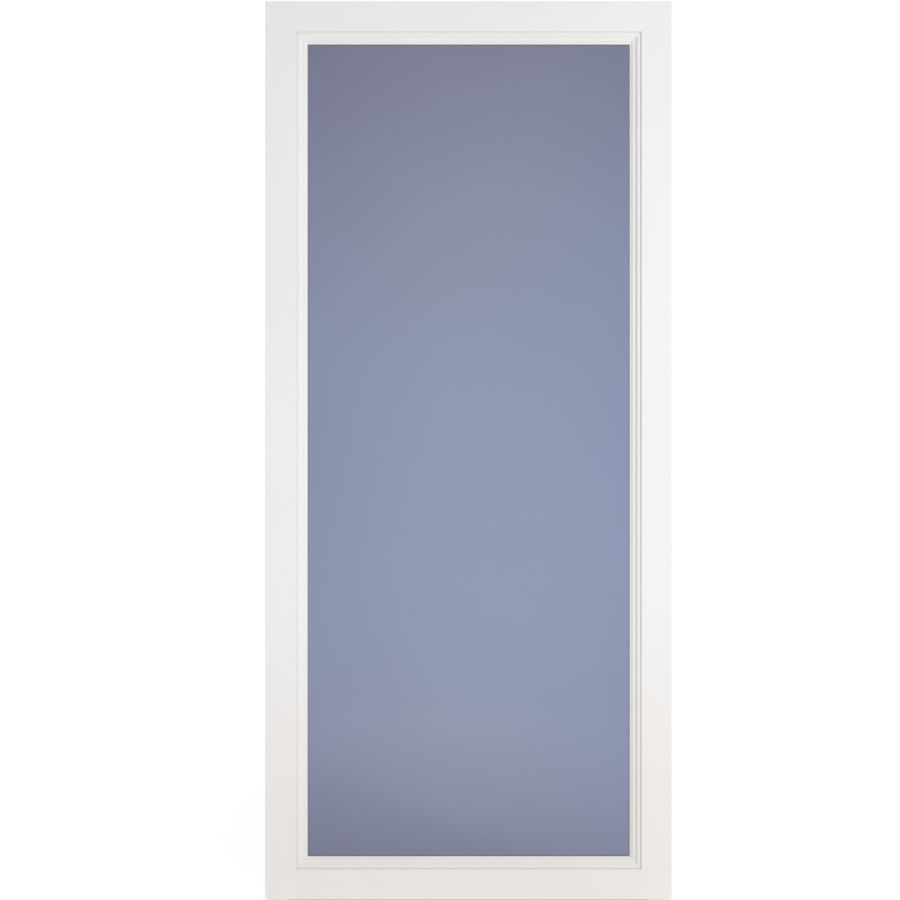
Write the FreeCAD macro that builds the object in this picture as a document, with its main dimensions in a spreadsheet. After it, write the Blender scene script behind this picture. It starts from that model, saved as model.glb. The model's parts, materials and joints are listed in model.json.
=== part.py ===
# Full-view aluminium storm door: a mitred leaf with a stepped glass insert, swinging in a screwed-on frame.
# X runs across the doorway to the right, Y goes indoors and Z is up, in millimetres.
# The origin is where the hinge side of the opening meets the face of the house trim, at sill level.
import FreeCAD, Part
import math
import os
import re
import Sketcher

# Driving dimensions: name, millimetres, what it measures.
SIZES = (
    ("leaf_width", 914, "leaf across its overlapping lips"),
    ("leaf_height", 2020, "leaf from bottom lip to top lip"),
    ("leaf_depth", 41, "leaf from outdoor face to indoor face"),
    ("leaf_stand", 23, "outdoor face in front of the house trim"),
    ("sill_gap", 12, "bottom lip above the sill"),
    ("lip_overlap", 25, "reach of the leaf over the house trim"),
    ("lip_return", 6, "depth of the turned-back outer edge"),
    ("return_wall", 1.6, "wall of the turned-back outer edge"),
    ("face_width", 69, "outdoor face of a rail"),
    ("face_thickness", 2, "wall of the outdoor face"),
    ("edge_radius", 1.5, "rounding of the outer edge"),
    ("ledge_radius", 1.6, "rounding of the edge beside the insert"),
    ("side_gap", 7.4, "room between the frame web and the rail tube"),
    ("tube_width", 28, "rail tube across the face"),
    ("tube_wall", 1.6, "wall of the rail tube"),
    ("tube_radius", 1.5, "rounding of the rail tube indoors"),
    ("insert_gap", 1, "play around the insert"),
    ("insert_depth", 22, "insert from front to back"),
    ("insert_wall", 1.6, "wall of the insert"),
    ("ledge_drop", 1.4, "first step behind the wall of the rail's face"),
    ("first_ledge", 7.6, "flat step beside the rail"),
    ("first_run", 5.8, "width of the first slope"),
    ("first_drop", 5, "depth of the first slope"),
    ("second_ledge", 4.6, "flat step between the slopes"),
    ("second_run", 2.8, "width of the second slope"),
    ("second_drop", 2.8, "depth of the second slope"),
    ("nose_width", 3.6, "sloping nose beside the glass"),
    ("nose_drop", 1.4, "depth of the nose's slope"),
    ("nose_thickness", 1.1, "edge of the nose"),
    ("step_radius", 0.6, "rounding of the insert's steps"),
    ("back_leg_inset", 2.7, "indoor leg short of the nose"),
    ("glass_thickness", 4, "safety glass"),
    ("glass_bite", 12.7, "glass held behind the nose"),
    ("gasket_wall", 1.7, "gasket around the glass edge"),
    ("gasket_show", 1.3, "gasket past the nose"),
    ("retainer_width", 16, "retainer across the insert"),
    ("retainer_height", 12, "retainer along the rail tube"),
    ("retainer_top", 4, "flat top of the retainer"),
    ("retainer_wall", 1.5, "wall of the retainer"),
    ("bead_radius", 2, "rounding of the retainer's top"),
    ("frame_wall", 1.6, "wall of the mounting frame"),
    ("flange_width", 23, "screw flange on the house trim"),
    ("stop_width", 20, "stop from the opening's side"),
    ("seal_space", 8, "room between leaf and stop"),
    ("kerf_wall", 1.2, "rib beside the weatherstrip"),
    ("hook_thickness", 0.8, "hook at the top of a rib"),
    ("hook_gap", 0.2, "hook clear of the weatherstrip base"),
    ("hook_side", 0.4, "hook clear of the pile"),
    ("strip_width", 6.6, "base of the weatherstrip"),
    ("strip_base", 1.4, "thickness of the weatherstrip base"),
    ("strip_step", 1.1, "base past the pile on each side"),
    ("strip_gap", 0.5, "pile short of the closed leaf"),
    ("screw_radius", 2.6, "frame screw hole"),
    ("screw_end", 90, "outer screws from the frame's ends"),
    ("head_screws", 600, "distance between the head's screws"),
    ("hinge_height", 76, "hinge from end to end"),
    ("hinge_margin", 180, "outer hinges from the leaf's ends"),
    ("hinge_plate", 2, "sheet of the hinge plates"),
    ("hinge_leg", 24, "hinge plate along the rail tube"),
    ("bend_radius", 1, "inside of the hinge plates' bends"),
    ("hinge_edge", 1, "frame plate short of the opening"),
    ("barrel_radius", 4.25, "outside of the hinge knuckles"),
    ("barrel_gap", 0.75, "lip clear of the knuckles"),
    ("knuckle_gap", 0.5, "play between knuckles"),
    ("pin_radius", 2.5, "hinge pin"),
    ("pin_play", 0.05, "pin in its knuckles"),
    ("pin_inset", 7, "pin from the leaf's outer edge"),
    ("pin_head_radius", 3.7, "button heads of the pin"),
    ("pin_head", 1.4, "thickness of the button heads"),
    ("expander_wall", 1.6, "wall of the bottom expander"),
    ("expander_lap", 12, "expander on the bottom rail"),
    ("expander_drop", 8, "underside of the expander above the sill"),
    ("expander_reach", 30, "expander forward from the indoor face"),
    ("expander_front", 22, "front leg of the expander"),
    ("expander_gap", 6, "expander short of each stop"),
    ("sweep_base", 2, "base of the sweep"),
    ("sweep_inset", 2, "sweep inside the expander"),
    ("sweep_clear", 1, "fin tips above the sill"),
    ("fin_width", 1.6, "root of a sweep fin"),
    ("fin_tip", 0.8, "tip of a sweep fin"),
    ("fin_spacing", 12, "distance between fins"),
)
SIZE_NAMES = {name for name, size, note in SIZES}
HINGES = ("hinge_1", "hinge_2", "hinge_3", "hinge_4")
SWEEP_FINS = 3
SAME_SPOT = 1e-4

# Places worked out from the driving dimensions, as formulas in their names.
# Across a rail, sizes run inwards from the leaf's outer edge. Depths run indoors from the leaf's face.
TUBE_START = "(lip_overlap + frame_wall + side_gap)"
TUBE_END = f"({TUBE_START} + tube_width)"
INSERT_START = f"({TUBE_END} + insert_gap)"
FIRST_LEDGE_END = "(face_width + first_ledge)"
FIRST_SLOPE_END = f"({FIRST_LEDGE_END} + first_run)"
SECOND_LEDGE_END = f"({FIRST_SLOPE_END} + second_ledge)"
SECOND_SLOPE_END = f"({SECOND_LEDGE_END} + second_run)"
NOSE_END = f"({SECOND_SLOPE_END} + nose_width)"
GLASS_EDGE = f"({NOSE_END} - glass_bite)"
POCKET_EDGE = f"({GLASS_EDGE} - gasket_wall)"
BACK_LEG_END = f"({NOSE_END} - back_leg_inset)"
LEDGE_DEPTH = "(face_thickness + ledge_drop)"
STEP_DEPTH = f"({LEDGE_DEPTH} + first_drop)"
NOSE_DEPTH = f"({STEP_DEPTH} + second_drop)"
NOSE_TIP = f"({NOSE_DEPTH} + nose_drop)"
POCKET_FRONT = f"({NOSE_TIP} + nose_thickness)"
GLASS_FRONT = f"({POCKET_FRONT} + gasket_wall)"
GLASS_BACK = f"({GLASS_FRONT} + glass_thickness)"
POCKET_BACK = f"({GLASS_BACK} + gasket_wall)"
INSERT_BACK = "(face_thickness + insert_depth)"
LEAF_BACK = "(leaf_depth - leaf_stand)"
LEAF_TOP = "(sill_gap + leaf_height)"
OPENING_WIDTH = "(leaf_width - 2 * lip_overlap)"
STOP_FRONT = f"({LEAF_BACK} + seal_space)"
STOP_BACK = f"({STOP_FRONT} + frame_wall)"
FRAME_WIDTH = f"({OPENING_WIDTH} + 2 * flange_width)"
FRAME_TOP = f"({LEAF_TOP} - lip_overlap + flange_width)"
STOP_END = "(flange_width + stop_width)"
KERF_END = f"({STOP_END} - kerf_wall)"
KERF_START = f"({KERF_END} - strip_width)"
HOOK_REACH = "(strip_step - hook_side)"
HOOK_BASE = f"({STOP_FRONT} - strip_base - hook_gap)"
KERF_TOP = f"({HOOK_BASE} - hook_thickness)"
PIN_DEPTH = "(face_thickness + barrel_gap + barrel_radius)"
PIN_X = "(pin_inset - lip_overlap)"
PIN_Y = f"({PIN_DEPTH} - leaf_stand)"
KNUCKLE = "(hinge_height / 3)"
HINGE_PITCH = f"((leaf_height - 2 * hinge_margin) / {len(HINGES) - 1})"

doc = FreeCAD.newDocument("storm_door")
sheet = doc.addObject("Spreadsheet::Sheet", "Sizes")
for row, (name, size, note) in enumerate(SIZES, start=1):
    sheet.set(f"A{row}", note)
    sheet.set(f"B{row}", str(size))
    sheet.setAlias(f"B{row}", name)
doc.recompute()
subparts = []


def in_sheet(formula):
    """The formula with each size named as a cell of the sheet."""
    return re.sub(r"[a-z_]{3,}", lambda word: prefixed(word.group()), formula)


def prefixed(word):
    return f"Sizes.{word}" if word in SIZE_NAMES else word


def measure(formula):
    return float(sheet.evalExpression(formula))


def bind(item, **formulas):
    """Ties properties of an object to the sheet; a double underscore stands for a dot."""
    for path, formula in formulas.items():
        item.setExpression(path.replace("__", "."), in_sheet(formula))


def place(item, x="0", y="0", z="0", turn=0):
    """Turns a sub-part about Y by some degrees and ties its place to the sheet."""
    rotation = FreeCAD.Rotation(FreeCAD.Vector(0, 1, 0), turn)
    item.Placement = FreeCAD.Placement(FreeCAD.Vector(), rotation)
    bind(item, Placement__Base__x=x, Placement__Base__y=y, Placement__Base__z=z)


def new_body(label):
    body = doc.addObject("PartDesign::Body", label)
    body.Label = label
    subparts.append(body)
    return body


def new_sketch(body, plane, lift=None):
    """A sketch on one of the body's own planes, raised along the plane's normal if asked."""
    sketch = body.newObject("Sketcher::SketchObject", "Sketch")
    support = next(f for f in body.Origin.OriginFeatures if f.Role == plane)
    sketch.AttachmentSupport = (support, "")
    sketch.MapMode = "FlatFace"
    if lift:
        bind(sketch, AttachmentOffset__Base__z=lift)
    return sketch


def add_dimension(sketch, kind, geometry, formula, *point):
    """One dimension of the sketch, tied to the sheet."""
    origin = (-1, 1) if point else ()
    index = sketch.addConstraint(Sketcher.Constraint(kind, *origin, geometry, *point, measure(formula)))
    sketch.setExpression(f"Constraints[{index}]", in_sheet(formula))


def unit_step(start, end):
    length = math.dist(start, end)
    return (round((end[0] - start[0]) / length), round((end[1] - start[1]) / length))


def outline_nodes(corners):
    """Nodes of a closed outline as (across, up, radius, centre, turn).
    The last three describe an arc to the next node."""
    points = [(measure(corner[0]), measure(corner[1])) for corner in corners]
    nodes = []
    for i, (across, up, *rounding) in enumerate(corners):
        if not rounding:
            nodes.append((across, up, None, None, 0))
            continue
        if len(rounding) == 2:
            nodes.append((across, up, rounding[0], (0, 0), rounding[1]))
            continue
        radius = rounding[0]
        before = unit_step(points[i - 1], points[i])
        after = unit_step(points[i], points[(i + 1) % len(points)])
        centre = tuple(p + measure(radius) * (b - a) for p, a, b in zip(points[i], before, after))
        turn = before[0] * after[1] - before[1] * after[0]
        start = (f"{across} - {before[0]} * {radius}", f"{up} - {before[1]} * {radius}")
        end = (f"{across} + {after[0]} * {radius}", f"{up} + {after[1]} * {radius}")
        nodes.append((*start, radius, centre, turn))
        nodes.append((*end, None, None, 0))
    return nodes


def draw_outline(sketch, corners):
    """Draws a closed outline. A corner is (across, up), with a radius to round a square corner,
    or with a radius and a turn to go on to the next corner by an arc about the sketch's origin."""
    nodes = outline_nodes(corners)
    spots = [FreeCAD.Vector(measure(node[0]), measure(node[1]), 0) for node in nodes]
    up_axis = FreeCAD.Vector(0, 0, 1)
    drawn = []
    for i, (across, up, radius, centre, turn) in enumerate(nodes):
        start = spots[i]
        end = spots[(i + 1) % len(spots)]
        if radius is None:
            drawn.append((sketch.addGeometry(Part.LineSegment(start, end)), 1, 2))
            continue
        middle = FreeCAD.Vector(*centre, 0)
        angles = [math.atan2(p.y - middle.y, p.x - middle.x) for p in (start, end)]
        circle = Part.Circle(middle, up_axis, measure(radius))
        if turn > 0:
            drawn.append((sketch.addGeometry(Part.ArcOfCircle(circle, *angles)), 1, 2))
        else:
            drawn.append((sketch.addGeometry(Part.ArcOfCircle(circle, *reversed(angles))), 2, 1))
    for i, (geometry, first, last) in enumerate(drawn):
        following, next_first, next_last = drawn[(i + 1) % len(drawn)]
        sketch.addConstraint(Sketcher.Constraint("Coincident", geometry, last, following, next_first))
        add_dimension(sketch, "DistanceX", geometry, nodes[i][0], first)
        add_dimension(sketch, "DistanceY", geometry, nodes[i][1], first)
        if nodes[i][2]:
            add_dimension(sketch, "Radius", geometry, nodes[i][2])


def draw_circle(sketch, across, up, radius):
    centre = FreeCAD.Vector(measure(across), measure(up), 0)
    circle = sketch.addGeometry(Part.Circle(centre, FreeCAD.Vector(0, 0, 1), measure(radius)))
    add_dimension(sketch, "DistanceX", circle, across, 3)
    add_dimension(sketch, "DistanceY", circle, up, 3)
    add_dimension(sketch, "Radius", circle, radius)


def pad(body, sketch, length):
    feature = body.newObject("PartDesign::Pad", "Pad")
    feature.Profile = sketch
    bind(feature, Length=length)
    return feature


def cut_through(body, sketch):
    """Cuts the sketch right through the body, both ways from its plane."""
    feature = body.newObject("PartDesign::Pocket", "Pocket")
    feature.Profile = sketch
    feature.SideType = "Symmetric"
    feature.Type = "ThroughAll"
    return feature


def round_corners(body, feature, corners, radius):
    """Rounds the long edges of a bar that pass through some corners of its outline."""
    doc.recompute()
    wanted = [(measure(depth), measure(inward)) for depth, inward in corners]
    names = []
    for number, edge in enumerate(feature.Shape.Edges, start=1):
        first, last = ((vertex.Point.y, vertex.Point.z) for vertex in (edge.Vertexes[0], edge.Vertexes[-1]))
        lengthwise = math.dist(first, last) < SAME_SPOT
        if lengthwise and any(math.dist(first, corner) < SAME_SPOT for corner in wanted):
            names.append(f"Edge{number}")
    fillet = body.newObject("PartDesign::Fillet", "Fillet")
    fillet.Base = (feature, names)
    bind(fillet, Radius=radius)


def bar(label, outlines, length, rounded=(), radius=None):
    """An extrusion along the body's own X; its outlines give depth and distance inwards."""
    body = new_body(label)
    profile = new_sketch(body, "YZ_Plane")
    for outline in outlines:
        draw_outline(profile, outline)
    solid = pad(body, profile, length)
    if rounded:
        round_corners(body, solid, rounded, radius)
    return body


def mitre(body, length, at_start=True, at_end=True):
    """Cuts the ends of a bar at 45 degrees, along the lines through its outer corners."""
    cutter = new_sketch(body, "XZ_Plane")
    if at_start:
        draw_outline(cutter, (
            ("-face_width", "-face_width"),
            ("2 * face_width", "2 * face_width"),
            ("-face_width", "2 * face_width"),
        ))
    if at_end:
        draw_outline(cutter, (
            (f"{length} + face_width", "-face_width"),
            (f"{length} + face_width", "2 * face_width"),
            (f"{length} - 2 * face_width", "2 * face_width"),
        ))
    cut_through(body, cutter)


def leaf_ring(labels, outlines, rounded=(), radius=None):
    """Four mitred bars around the leaf: hinge side, latch side, top and bottom."""
    left, right = "-lip_overlap", "leaf_width - lip_overlap"
    sides = (
        ("leaf_height", left, LEAF_TOP, 90),
        ("leaf_height", right, "sill_gap", -90),
        ("leaf_width", right, LEAF_TOP, 180),
        ("leaf_width", left, "sill_gap", 0),
    )
    for label, (length, x, z, turn) in zip(labels, sides):
        body = bar(label, outlines, length, rounded, radius)
        mitre(body, length)
        place(body, x, "-leaf_stand", z, turn)


def frame_ring(labels, outlines):
    """Three bars around the opening, mitred at the top and square at the sill."""
    left, right = "-flange_width", f"{OPENING_WIDTH} + flange_width"
    sides = (
        (FRAME_TOP, left, FRAME_TOP, 90, True, False),
        (FRAME_TOP, right, "0", -90, False, True),
        (FRAME_WIDTH, right, FRAME_TOP, 180, True, True),
    )
    bodies = []
    for label, (length, x, z, turn, at_start, at_end) in zip(labels, sides):
        body = bar(label, outlines, length)
        mitre(body, length, at_start, at_end)
        place(body, x, "0", z, turn)
        bodies.append(body)
    return bodies


def make_rails():
    """Hollow rail tubes whose outdoor face runs on as a lip over the frame and a ledge over the insert."""
    outside = (
        ("0", "0", "edge_radius"),
        ("0", "face_width", "ledge_radius"),
        ("face_thickness", "face_width"),
        ("face_thickness", TUBE_END),
        ("leaf_depth", TUBE_END, "tube_radius"),
        ("leaf_depth", TUBE_START, "tube_radius"),
        ("face_thickness", TUBE_START),
        ("face_thickness", "return_wall"),
        ("lip_return", "return_wall"),
        ("lip_return", "0"),
    )
    hollow = (
        ("face_thickness", f"{TUBE_START} + tube_wall"),
        ("face_thickness", f"{TUBE_END} - tube_wall"),
        ("leaf_depth - tube_wall", f"{TUBE_END} - tube_wall"),
        ("leaf_depth - tube_wall", f"{TUBE_START} + tube_wall"),
    )
    leaf_ring(("hinge_stile", "latch_stile", "top_rail", "bottom_rail"), (outside, hollow))


def make_insert():
    """Stepped bars that hold the glass in a pocket, with a hollow for their corner keys."""
    seat_end = "(face_width - ledge_radius)"
    steps = (
        (LEDGE_DEPTH, FIRST_LEDGE_END),
        (STEP_DEPTH, FIRST_SLOPE_END),
        (STEP_DEPTH, SECOND_LEDGE_END),
        (NOSE_DEPTH, SECOND_SLOPE_END),
        (NOSE_TIP, NOSE_END),
    )
    outside = (
        ("face_thickness", INSERT_START),
        ("face_thickness", seat_end),
        (LEDGE_DEPTH, seat_end),
        *steps,
        (POCKET_FRONT, NOSE_END),
        (POCKET_FRONT, POCKET_EDGE),
        (POCKET_BACK, POCKET_EDGE),
        (POCKET_BACK, BACK_LEG_END),
        (f"{POCKET_BACK} + insert_wall", BACK_LEG_END),
        (f"{POCKET_BACK} + insert_wall", POCKET_EDGE),
        (INSERT_BACK, POCKET_EDGE),
        (INSERT_BACK, INSERT_START),
    )
    hollow = (
        (f"{LEDGE_DEPTH} + insert_wall", f"{INSERT_START} + insert_wall"),
        (f"{LEDGE_DEPTH} + insert_wall", f"{FIRST_LEDGE_END} - insert_wall"),
        (f"{INSERT_BACK} - insert_wall", f"{FIRST_LEDGE_END} - insert_wall"),
        (f"{INSERT_BACK} - insert_wall", f"{INSERT_START} + insert_wall"),
    )
    labels = ("insert_hinge_side", "insert_latch_side", "insert_top", "insert_bottom")
    leaf_ring(labels, (outside, hollow), steps, "step_radius")


def make_retainers():
    """Hollow beads that snap against the rail tubes indoors and hold the insert."""
    slope_foot = f"{TUBE_END} + retainer_width"
    crest = (f"{INSERT_BACK} + retainer_height", f"{TUBE_END} + retainer_top")
    outside = (
        (INSERT_BACK, TUBE_END),
        (INSERT_BACK, slope_foot),
        (f"{INSERT_BACK} + retainer_wall", slope_foot),
        crest,
        (f"{INSERT_BACK} + retainer_height", TUBE_END),
    )
    hollow = (
        (f"{INSERT_BACK} + retainer_wall", f"{TUBE_END} + retainer_wall"),
        (f"{INSERT_BACK} + retainer_wall", f"{slope_foot} - 3 * retainer_wall"),
        (f"{INSERT_BACK} + retainer_height - 3 * retainer_wall", f"{TUBE_END} + retainer_wall"),
    )
    labels = ("retainer_hinge_side", "retainer_latch_side", "retainer_top", "retainer_bottom")
    leaf_ring(labels, (outside, hollow), (crest,), "bead_radius")


def block(name, inset, front, back):
    """A plain slab inside the leaf's outline, inset all round, between two depths."""
    slab = doc.addObject("Part::Box", name)
    bind(
        slab,
        Length=f"leaf_width - 2 * {inset}",
        Height=f"leaf_height - 2 * {inset}",
        Width=f"{back} - {front}",
    )
    place(slab, f"{inset} - lip_overlap", f"{front} - leaf_stand", f"{inset} + sill_gap")
    return slab


def cut(name, base, tool):
    result = doc.addObject("Part::Cut", name)
    result.Base = base
    result.Tool = tool
    return result


def make_glass():
    """One pane and the channel gasket wrapped around its edge."""
    pane = block("glass_pane", GLASS_EDGE, GLASS_FRONT, GLASS_BACK)
    subparts.append(pane)
    whole = block("gasket_block", POCKET_EDGE, POCKET_FRONT, POCKET_BACK)
    slot = block("gasket_slot", GLASS_EDGE, GLASS_FRONT, GLASS_BACK)
    window_edge = f"({NOSE_END} + gasket_show)"
    front_window = block("gasket_front_window", window_edge, POCKET_FRONT, GLASS_FRONT)
    back_window = block("gasket_back_window", BACK_LEG_END, GLASS_BACK, POCKET_BACK)
    slotted = cut("gasket_slotted", whole, slot)
    fronted = cut("gasket_fronted", slotted, front_window)
    gasket = cut("glazing_gasket", fronted, back_window)
    subparts.append(gasket)


def hinge_middles():
    """Heights of the hinges' middles above the sill."""
    return [f"(sill_gap + hinge_margin + {i} * {HINGE_PITCH})" for i in range(len(HINGES))]


def side_screw_heights():
    """Screws near both ends of a side bar, and halfway between neighbouring hinges."""
    between = [f"({middle} + {HINGE_PITCH} / 2)" for middle in hinge_middles()[:-1]]
    return ["screw_end", *between, f"({FRAME_TOP} - screw_end)"]


def make_frame():
    """Z-section bars: a screw flange on the trim, a web into the opening and a stop with a hooked kerf."""
    outline = (
        ("-frame_wall", "0"),
        ("-frame_wall", "flange_width + frame_wall"),
        (STOP_FRONT, "flange_width + frame_wall"),
        (STOP_FRONT, f"{KERF_START} - kerf_wall"),
        (KERF_TOP, f"{KERF_START} - kerf_wall"),
        (KERF_TOP, f"{KERF_START} + {HOOK_REACH}"),
        (HOOK_BASE, f"{KERF_START} + {HOOK_REACH}"),
        (HOOK_BASE, KERF_START),
        (STOP_FRONT, KERF_START),
        (STOP_FRONT, KERF_END),
        (HOOK_BASE, KERF_END),
        (HOOK_BASE, f"{KERF_END} - {HOOK_REACH}"),
        (KERF_TOP, f"{KERF_END} - {HOOK_REACH}"),
        (KERF_TOP, STOP_END),
        (STOP_BACK, STOP_END),
        (STOP_BACK, "flange_width"),
        ("0", "flange_width"),
        ("0", "0"),
    )
    labels = ("hinge_jamb_rail", "latch_jamb_rail", "head_jamb_rail")
    hinge_side, latch_side, head = frame_ring(labels, (outline,))
    heights = side_screw_heights()
    places = (
        (hinge_side, [f"{FRAME_TOP} - {height}" for height in heights]),
        (latch_side, heights),
        (head, [f"({FRAME_WIDTH} + {way} * head_screws) / 2" for way in (-1, 1)]),
    )
    for body, along in places:
        holes = new_sketch(body, "XZ_Plane")
        for spot in along:
            draw_circle(holes, spot, "flange_width / 2", "screw_radius")
        cut_through(body, holes)


def make_weatherstrips():
    """Pile strips with a flat base held in the kerfs."""
    pile_tip = f"{LEAF_BACK} + strip_gap"
    base_top = f"{STOP_FRONT} - strip_base"
    outline = (
        (STOP_FRONT, KERF_START),
        (base_top, KERF_START),
        (base_top, f"{KERF_START} + strip_step"),
        (pile_tip, f"{KERF_START} + strip_step"),
        (pile_tip, f"{KERF_END} - strip_step"),
        (base_top, f"{KERF_END} - strip_step"),
        (base_top, KERF_END),
        (STOP_FRONT, KERF_END),
    )
    frame_ring(("hinge_weatherstrip", "latch_weatherstrip", "head_weatherstrip"), (outline,))


def add_knuckle(body, outline, start, length):
    """One curl of a hinge plate around the pin, with its bore."""
    sketch = new_sketch(body, "XY_Plane", start)
    draw_outline(sketch, outline)
    draw_circle(sketch, "0", "0", "pin_radius + pin_play")
    pad(body, sketch, length)


def make_frame_plate(label, bottom):
    """The fixed hinge plate: flat on the flange, turned up to a knuckle at each end."""
    seat = f"(-frame_wall - {PIN_Y})"
    root = "(barrel_radius + knuckle_gap)"
    inner = "(barrel_radius - hinge_plate)"
    reach = "(lip_overlap - pin_inset - hinge_edge)"
    body = new_body(label)
    plate = new_sketch(body, "XY_Plane")
    draw_outline(plate, (
        (inner, root),
        ("barrel_radius", root),
        ("barrel_radius", f"{seat} - hinge_plate", "bend_radius"),
        (reach, f"{seat} - hinge_plate"),
        (reach, seat),
        (inner, seat, "(bend_radius + hinge_plate)"),
    ))
    pad(body, plate, "hinge_height")
    curl_end = f"sqrt(barrel_radius * barrel_radius - {inner} * {inner})"
    curl = (
        (inner, curl_end, "barrel_radius", 1),
        ("barrel_radius", "0"),
        ("barrel_radius", root),
        (inner, root),
    )
    add_knuckle(body, curl, "0", KNUCKLE)
    add_knuckle(body, curl, f"2 * {KNUCKLE}", KNUCKLE)
    place(body, PIN_X, PIN_Y, bottom)


def make_door_plate(label, bottom):
    """The moving hinge plate: along the lip, bent back along the rail tube, with a middle knuckle."""
    lip_back = "(-barrel_gap - barrel_radius)"
    plate_back = f"({lip_back} + hinge_plate)"
    root = "(barrel_radius + knuckle_gap)"
    tube_side = f"({TUBE_START} - pin_inset)"
    body = new_body(label)
    plate = new_sketch(body, "XY_Plane")
    draw_outline(plate, (
        (root, lip_back),
        (tube_side, lip_back, "(bend_radius + hinge_plate)"),
        (tube_side, f"{lip_back} + hinge_leg"),
        (f"{tube_side} - hinge_plate", f"{lip_back} + hinge_leg"),
        (f"{tube_side} - hinge_plate", plate_back, "bend_radius"),
        (root, plate_back),
    ))
    pad(body, plate, "hinge_height")
    curl_start = f"sqrt(barrel_radius * barrel_radius - {plate_back} * {plate_back})"
    curl = (
        (root, lip_back),
        (root, plate_back),
        (curl_start, plate_back, "barrel_radius", 1),
        ("0", "-barrel_radius"),
        ("0", lip_back),
    )
    add_knuckle(body, curl, f"{KNUCKLE} + knuckle_gap", f"{KNUCKLE} - 2 * knuckle_gap")
    place(body, PIN_X, PIN_Y, bottom)


def make_pin(label, bottom):
    """A turned pin with a button head at each end."""
    body = new_body(label)
    half = new_sketch(body, "XZ_Plane")
    draw_outline(half, (
        ("0", "-pin_head"),
        ("pin_head_radius", "-pin_head"),
        ("pin_head_radius", "0"),
        ("pin_radius", "0"),
        ("pin_radius", "hinge_height"),
        ("pin_head_radius", "hinge_height"),
        ("pin_head_radius", "hinge_height + pin_head"),
        ("0", "hinge_height + pin_head"),
    ))
    turned = body.newObject("PartDesign::Revolution", "Revolution")
    turned.Profile = half
    turned.ReferenceAxis = (half, ["V_Axis"])
    turned.Angle = 360
    place(body, PIN_X, PIN_Y, bottom)


def make_hinges():
    for label, middle in zip(HINGES, hinge_middles()):
        bottom = f"{middle} - hinge_height / 2"
        make_frame_plate(f"{label}_frame_plate", bottom)
        make_door_plate(f"{label}_door_plate", bottom)
        make_pin(f"{label}_pin", bottom)


def make_bottom():
    """The channel under the bottom rail and its finned sweep."""
    length = f"{OPENING_WIDTH} - 2 * (stop_width + expander_gap)"
    start = "stop_width + expander_gap"
    top = f"sill_gap + {TUBE_START} + expander_lap"
    web = "expander_drop + expander_wall"
    front = "-expander_reach"
    expander = bar("bottom_expander", ((
        ("expander_wall", "expander_drop"),
        ("expander_wall", top),
        ("0", top),
        ("0", web),
        (f"{front} + expander_wall", web),
        (f"{front} + expander_wall", "expander_drop + expander_front"),
        (front, "expander_drop + expander_front"),
        (front, "expander_drop"),
    ),), length)
    place(expander, start, LEAF_BACK, "0")
    base_bottom = "expander_drop - sweep_base"
    slant = "(fin_width - fin_tip) / 2"
    middle = "(expander_wall - expander_reach) / 2"
    comb = [("expander_wall - sweep_inset", "expander_drop"), (f"{front} + sweep_inset", "expander_drop")]
    comb.append((f"{front} + sweep_inset", base_bottom))
    for i in range(SWEEP_FINS):
        fin = f"{middle} + {i - (SWEEP_FINS - 1) / 2} * fin_spacing - fin_width / 2"
        comb.append((fin, base_bottom))
        comb.append((f"{fin} + {slant}", "sweep_clear"))
        comb.append((f"{fin} + fin_width - {slant}", "sweep_clear"))
        comb.append((f"{fin} + fin_width", base_bottom))
    comb.append(("expander_wall - sweep_inset", base_bottom))
    sweep = bar("door_sweep", (comb,), length)
    place(sweep, start, LEAF_BACK, "0")


def write_parts():
    """Stops if anything failed, then writes each sub-part to its own file."""
    doc.recompute()
    for item in doc.Objects:
        if {"Invalid", "Error"} & set(item.State):
            raise RuntimeError(f"{item.Label} failed: {item.State}")
    for item in subparts:
        if item.Shape.isNull() or not item.Shape.isValid() or len(item.Shape.Solids) != 1:
            raise RuntimeError(f"{item.Label} has no sound shape")
    os.makedirs("parts", exist_ok=True)
    for item in subparts:
        item.Shape.exportStep(f"parts/{item.Label}.step")
        box = item.Shape.BoundBox
        spans = ((box.XMin, box.XMax), (box.YMin, box.YMax), (box.ZMin, box.ZMax))
        reach = ", ".join(f"{low:.1f} to {high:.1f}" for low, high in spans)
        print(f"{item.Label}: {item.Shape.Volume / 1000:.1f} cm3, {reach}")


make_rails()
make_insert()
make_retainers()
make_glass()
make_frame()
make_weatherstrips()
make_hinges()
make_bottom()
write_parts()
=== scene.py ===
# %% [markdown]
# # A white full-view storm door
# The real door is one tall pane of blue-grey safety glass in a stepped insert, held in a mitred leaf of
# white enamelled aluminium. Four small hinges carry the leaf in a screwed-on frame, which its lip hides
# from outdoors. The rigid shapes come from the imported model, so the lesson is about finishes, repeated
# fasteners, soft pile, a bright studio and a camera that looks straight at the door.

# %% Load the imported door
import json
import math

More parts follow.
